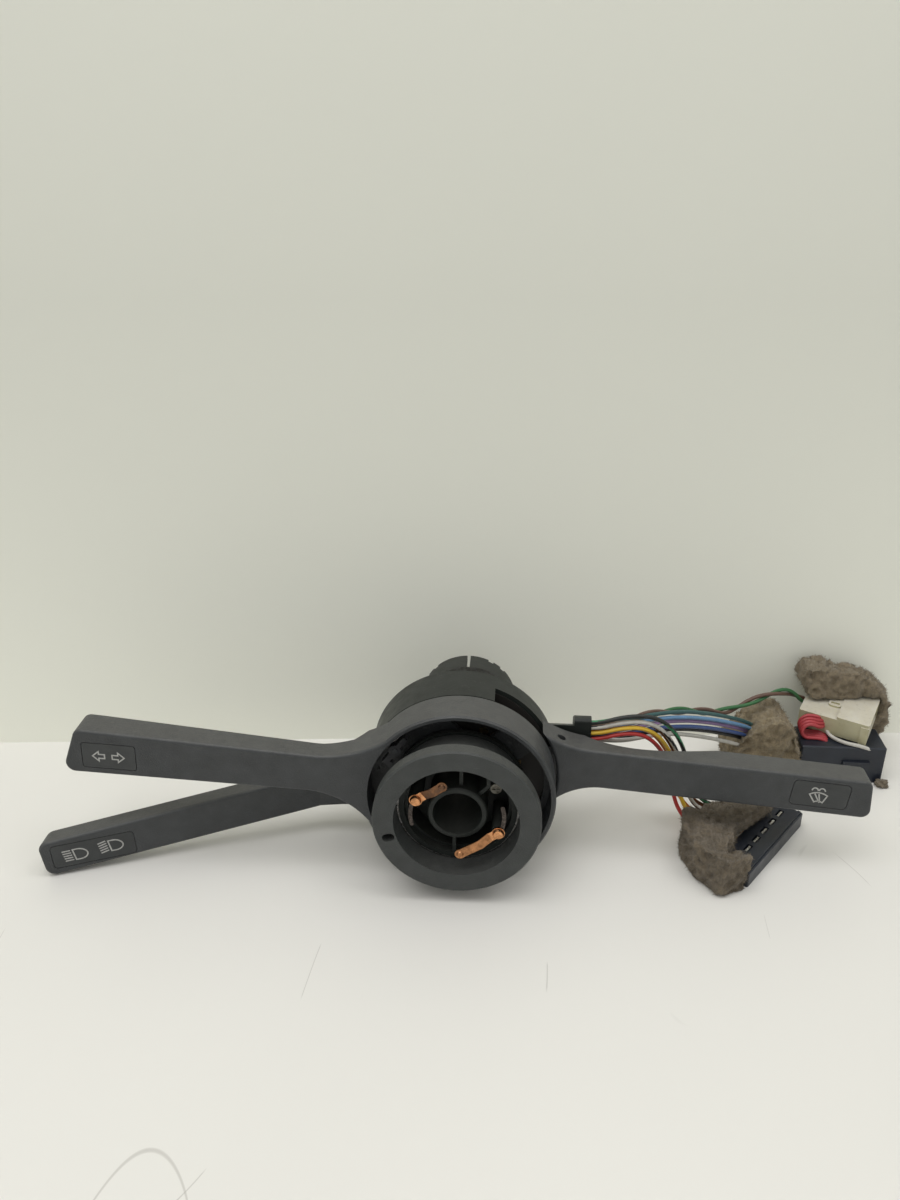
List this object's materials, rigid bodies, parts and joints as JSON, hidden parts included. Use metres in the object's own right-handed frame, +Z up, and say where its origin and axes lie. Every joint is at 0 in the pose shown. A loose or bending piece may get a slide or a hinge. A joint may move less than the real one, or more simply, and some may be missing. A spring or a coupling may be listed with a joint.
{
  "type": "combination stalk switch",
  "caption": "Steering-column combination switch: indicator, light and wiper stalks on a clamped drum, with a self-cancelling ring, horn contacts and wiring looms.",
  "frame": {"origin": "centre of the column clamp's rear mouth, on the steering column's axis", "axes": "+Y down the steering column, away from the driver; +X to the driver's right; +Z up"},
  "size_m": [0.4224, 0.15, 0.0872],
  "materials": {
    "column_plastic": "smooth moulded black plastic",
    "drum_plastic": "moulded black plastic, light wear",
    "lever_plastic": "fine-grained charcoal plastic",
    "ring_plastic": "fine-grained charcoal plastic",
    "hub_plastic": "black low-friction plastic",
    "plate_print": "smooth black inlay with pale printed signs",
    "zinc_steel": "zinc-plated steel",
    "black_steel": "dark phosphated steel",
    "spring_steel": "bare spring steel",
    "board_laminate": "dark laminate",
    "contact_brass": "bare brass",
    "horn_copper": "bare copper alloy",
    "tinned_copper": "tin-plated copper",
    "white_nylon": "natural nylon",
    "black_nylon": "black nylon",
    "foam": "torn grey-brown foam",
    "black_green_insulation": "soft PVC insulation",
    "white_black_insulation": "soft PVC insulation",
    "brown_insulation": "soft PVC insulation",
    "yellow_insulation": "soft PVC insulation",
    "orange_insulation": "soft PVC insulation",
    "red_insulation": "soft PVC insulation",
    "dark_green_insulation": "soft PVC insulation",
    "light_blue_insulation": "soft PVC insulation",
    "violet_insulation": "soft PVC insulation",
    "dark_blue_insulation": "soft PVC insulation",
    "twisted_green_insulation": "soft PVC insulation",
    "twisted_brown_insulation": "soft PVC insulation"
  },
  "bodies": {
    "column_unit": {"column_carrier": "column_plastic", "clamp_band": "black_steel", "clamp_bolt": "zinc_steel", "clamp_nut": "zinc_steel", "drum_housing": "drum_plastic", "drum_screws": "zinc_steel", "light_board": "board_laminate", "wiper_board": "board_laminate", "indicator_board": "board_laminate", "contact_pads": "contact_brass", "contact_carrier": "column_plastic", "carrier_screws": "zinc_steel", "ring_clip": "spring_steel", "horn_terminals": "tinned_copper", "horn_feet": "horn_copper", "horn_rivets": "horn_copper", "cable_clip": "drum_plastic", "black_green_wire": "black_green_insulation", "white_black_wire": "white_black_insulation", "brown_wire": "brown_insulation", "yellow_wire": "yellow_insulation", "orange_wire": "orange_insulation", "red_wire": "red_insulation", "dark_green_wire": "dark_green_insulation", "light_blue_wire": "light_blue_insulation", "violet_wire": "violet_insulation", "dark_blue_wire": "dark_blue_insulation", "twisted_green_wire": "twisted_green_insulation", "twisted_brown_wire": "twisted_brown_insulation", "white_connector": "white_nylon", "right_connector": "black_nylon", "low_connector": "black_nylon", "low_terminals": "tinned_copper", "foam_top": "foam", "foam_middle": "foam", "foam_low": "foam"},
    "cancel_ring": {"cancel_ring": "ring_plastic"},
    "indicator": {"indicator_lever": "lever_plastic", "indicator_plate": "plate_print", "indicator_detent_ball": "spring_steel", "indicator_detent_spring": "spring_steel", "indicator_bridge": "contact_brass", "pawl_spring": "spring_steel"},
    "cancel_pawl": {"cancel_pawl": "hub_plastic"},
    "wiper_hub": {"wiper_hub": "hub_plastic", "wiper_pivot_pin": "spring_steel", "wiper_detent_ball": "spring_steel", "wiper_detent_spring": "spring_steel", "wiper_bridge": "contact_brass"},
    "wiper_stalk": {"wiper_lever": "lever_plastic", "wiper_plate": "plate_print"},
    "light_hub": {"light_hub": "hub_plastic", "light_pivot_pin": "spring_steel", "light_detent_ball": "spring_steel", "light_detent_spring": "spring_steel", "light_bridge": "contact_brass"},
    "light_stalk": {"light_lever": "lever_plastic", "light_plate": "plate_print"},
    "horn_upper": {"horn_blade_upper": "horn_copper"},
    "horn_lower": {"horn_blade_lower": "horn_copper"}
  },
  "joints": [
    {"name": "cancel_ring_spin", "type": "hinge", "parent": "column_unit", "child": "cancel_ring", "pos_m": [0, -0.096, 0], "axis": [0, -1, 0], "continuous": true},
    {"name": "indicator_swing", "type": "hinge", "parent": "column_unit", "child": "indicator", "pos_m": [0, -0.077, 0], "axis": [0, -1, 0], "range_deg": [-8, 8]},
    {"name": "cancel_pawl_swing", "type": "hinge", "parent": "indicator", "child": "cancel_pawl", "pos_m": [-0.02868, -0.0866, 0.02241], "axis": [0, -1, 0], "range_deg": [0, 8], "stiffness_Nm_per_rad": 0.02, "springref_deg": -5.73},
    {"name": "wiper_swing", "type": "hinge", "parent": "column_unit", "child": "wiper_hub", "pos_m": [0, -0.067, 0], "axis": [0, -1, 0], "range_deg": [0, 21]},
    {"name": "wiper_pull", "type": "hinge", "parent": "wiper_hub", "child": "wiper_stalk", "pos_m": [0.04722, -0.067, 0.00413], "axis": [0.0872, 0, -0.9962], "range_deg": [0, 5.5], "stiffness_Nm_per_rad": 1.6, "springref_deg": -4.58},
    {"name": "light_swing", "type": "hinge", "parent": "column_unit", "child": "light_hub", "pos_m": [0, -0.0576, 0], "axis": [0, -1, 0], "range_deg": [0, 14]},
    {"name": "light_pull", "type": "hinge", "parent": "light_hub", "child": "light_stalk", "pos_m": [-0.04521, -0.0576, -0.01425], "axis": [-0.3007, 0, 0.9537], "range_deg": [0, 5.5], "stiffness_Nm_per_rad": 1.6, "springref_deg": -4.58},
    {"name": "horn_upper_press", "type": "hinge", "parent": "column_unit", "child": "horn_upper", "pos_m": [-0.01472, -0.1035, 0.01071], "axis": [-0.6139, 0, 0.7894], "range_deg": [0, 8], "stiffness_Nm_per_rad": 0.05, "springref_deg": -2.86},
    {"name": "horn_lower_press", "type": "hinge", "parent": "column_unit", "child": "horn_lower", "pos_m": [0.01461, -0.1035, -0.01005], "axis": [0.5307, 0, -0.8476], "range_deg": [0, 6], "stiffness_Nm_per_rad": 0.05, "springref_deg": -2.86}
  ]
}
